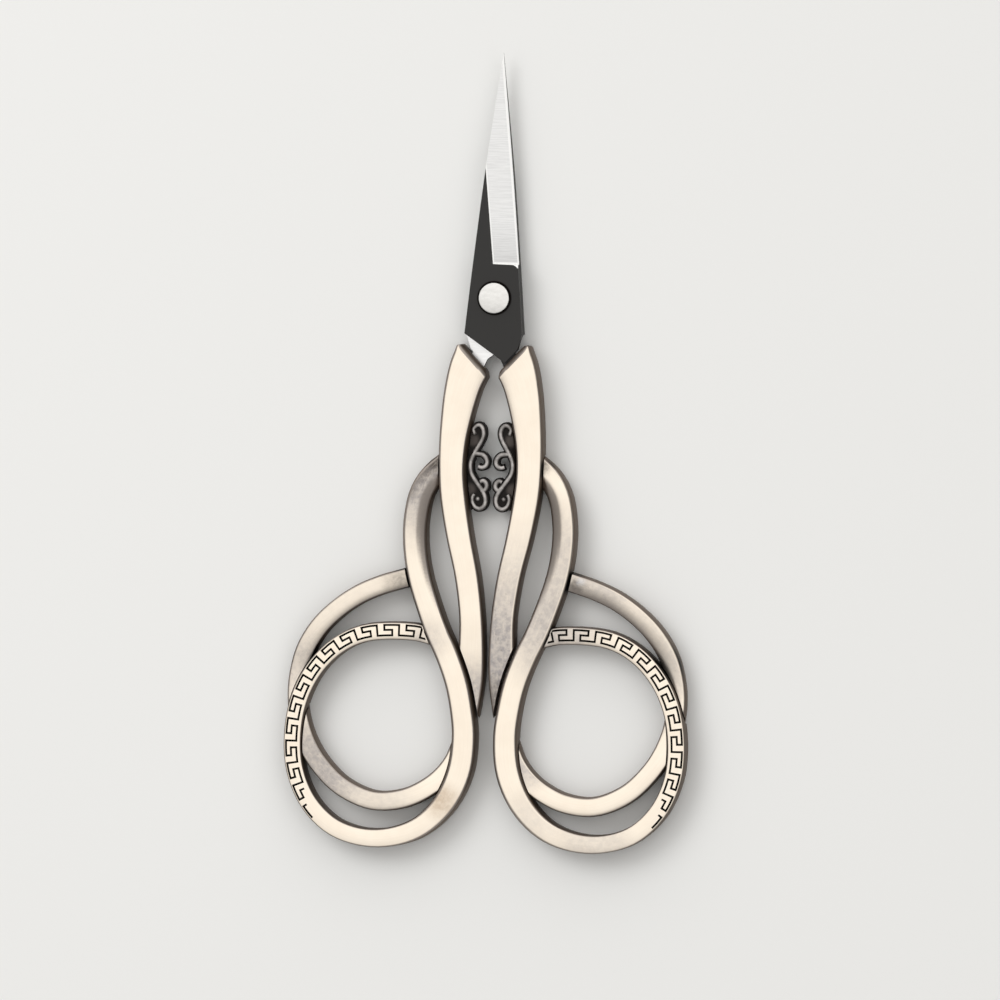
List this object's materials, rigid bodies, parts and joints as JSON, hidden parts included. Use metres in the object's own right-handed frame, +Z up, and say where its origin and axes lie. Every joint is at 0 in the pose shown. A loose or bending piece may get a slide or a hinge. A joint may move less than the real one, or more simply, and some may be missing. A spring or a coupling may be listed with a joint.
{
  "type": "embroidery scissors",
  "caption": "Embroidery scissors with slim pointed blades on a rivet and open handles of interlaced brass strips with scrolls between the arms.",
  "frame": {"origin": "on the pivot axis, on the flat tail of the rivet, in the plane that the scissors lie on", "axes": "+Y from the pivot to the blade tips, +Z up from the table out of the front face, +X towards the handle that carries the front blade"},
  "size_m": [0.061, 0.1199, 0.0046],
  "materials": {
    "blade_steel": "charcoal-blackened steel with a bright ground face along the cutting edge",
    "rivet_steel": "bright satin steel, flat heads",
    "handle_brass": "antique pale brass, polished faces with dark patina on the side walls and in the seams",
    "scroll_metal": "blackened casting with worn grey raised lines"
  },
  "bodies": {
    "front_half": {"front_blade": "blade_steel", "pivot_rivet": "rivet_steel", "right_arm": "handle_brass", "right_bow": "handle_brass", "right_inner_band": "handle_brass", "right_scroll": "scroll_metal"},
    "back_half": {"back_blade": "blade_steel", "left_arm": "handle_brass", "left_bow": "handle_brass", "left_inner_band": "handle_brass", "left_scroll": "scroll_metal"}
  },
  "joints": [
    {"name": "blade_pivot", "type": "hinge", "parent": "front_half", "child": "back_half", "pos_m": [0, 0, 0.0023], "axis": [0, 0, -1], "range_deg": [0, 60]}
  ]
}
